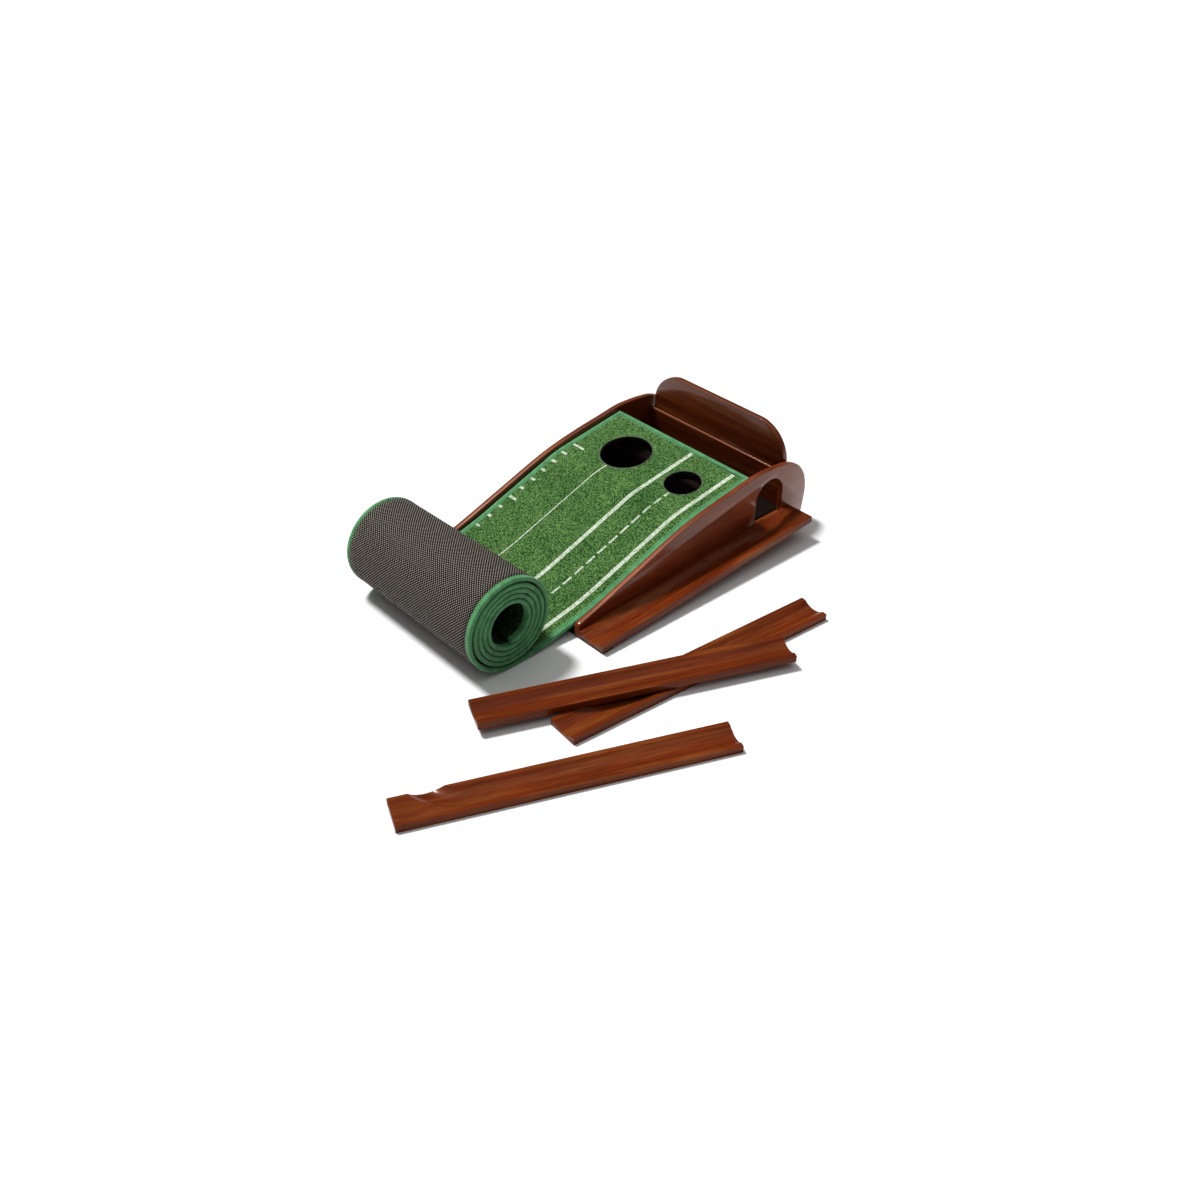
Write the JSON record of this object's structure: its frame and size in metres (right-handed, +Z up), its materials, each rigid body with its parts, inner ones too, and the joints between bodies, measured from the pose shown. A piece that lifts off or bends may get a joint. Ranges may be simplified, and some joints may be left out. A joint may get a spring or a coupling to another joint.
{
  "type": "practice putting mat",
  "caption": "Wooden ramp station with two cups, ball trough and side return rail, a lined turf mat partly rolled up, and loose grooved return rails.",
  "frame": {"origin": "middle of the whole layout seen from above, on the floor that everything rests on", "axes": "+Y up the ramp along the putting line, +X towards the return rails, +Z up"},
  "size_m": [0.8068, 1.152, 0.21],
  "materials": {
    "stained_wood": "gloss stained hardwood",
    "inner_wood": "satin stained board",
    "turf": "short dense pile on a woven backing",
    "foot_rubber": "matte",
    "screw_steel": "satin"
  },
  "bodies": {
    "station": {"side_board_left": "stained_wood", "side_board_right": "stained_wood", "front_block": "inner_wood", "slope_board": "inner_wood", "cup_board": "inner_wood", "middle_batten": "inner_wood", "rear_batten": "inner_wood", "drop_chute": "inner_wood", "front_bearer": "inner_wood", "rear_bearer": "inner_wood", "trough_floor": "inner_wood", "catch_board": "stained_wood", "back_board": "stained_wood", "station_rail": "stained_wood", "back_screw_1": "screw_steel", "back_screw_2": "screw_steel", "back_screw_3": "screw_steel", "rail_screw_1": "screw_steel", "rail_screw_2": "screw_steel", "rail_screw_3": "screw_steel", "station_rail_foot": "foot_rubber", "mat_on_ramp": "turf", "mat_flat_run": "turf"},
    "roll": {"mat_roll": "turf"},
    "end_rail": {"rail_end_turned": "stained_wood"},
    "lower_rail": {"rail_lower": "stained_wood"},
    "upper_rail": {"rail_upper": "stained_wood"}
  },
  "joints": [
    {"name": "mat_unroll", "type": "slide", "parent": "station", "child": "roll", "axis": [0, -1, 0], "range_m": [0, 0.42]},
    {"name": "end_rail_lift", "type": "slide", "parent": "station", "child": "end_rail", "axis": [0, 0, 1], "range_m": [0, 0.25]},
    {"name": "lower_rail_lift", "type": "slide", "parent": "station", "child": "lower_rail", "axis": [0, 0, 1], "range_m": [0, 0.25]},
    {"name": "upper_rail_lift", "type": "slide", "parent": "lower_rail", "child": "upper_rail", "axis": [0, 0, 1], "range_m": [0, 0.25]}
  ]
}
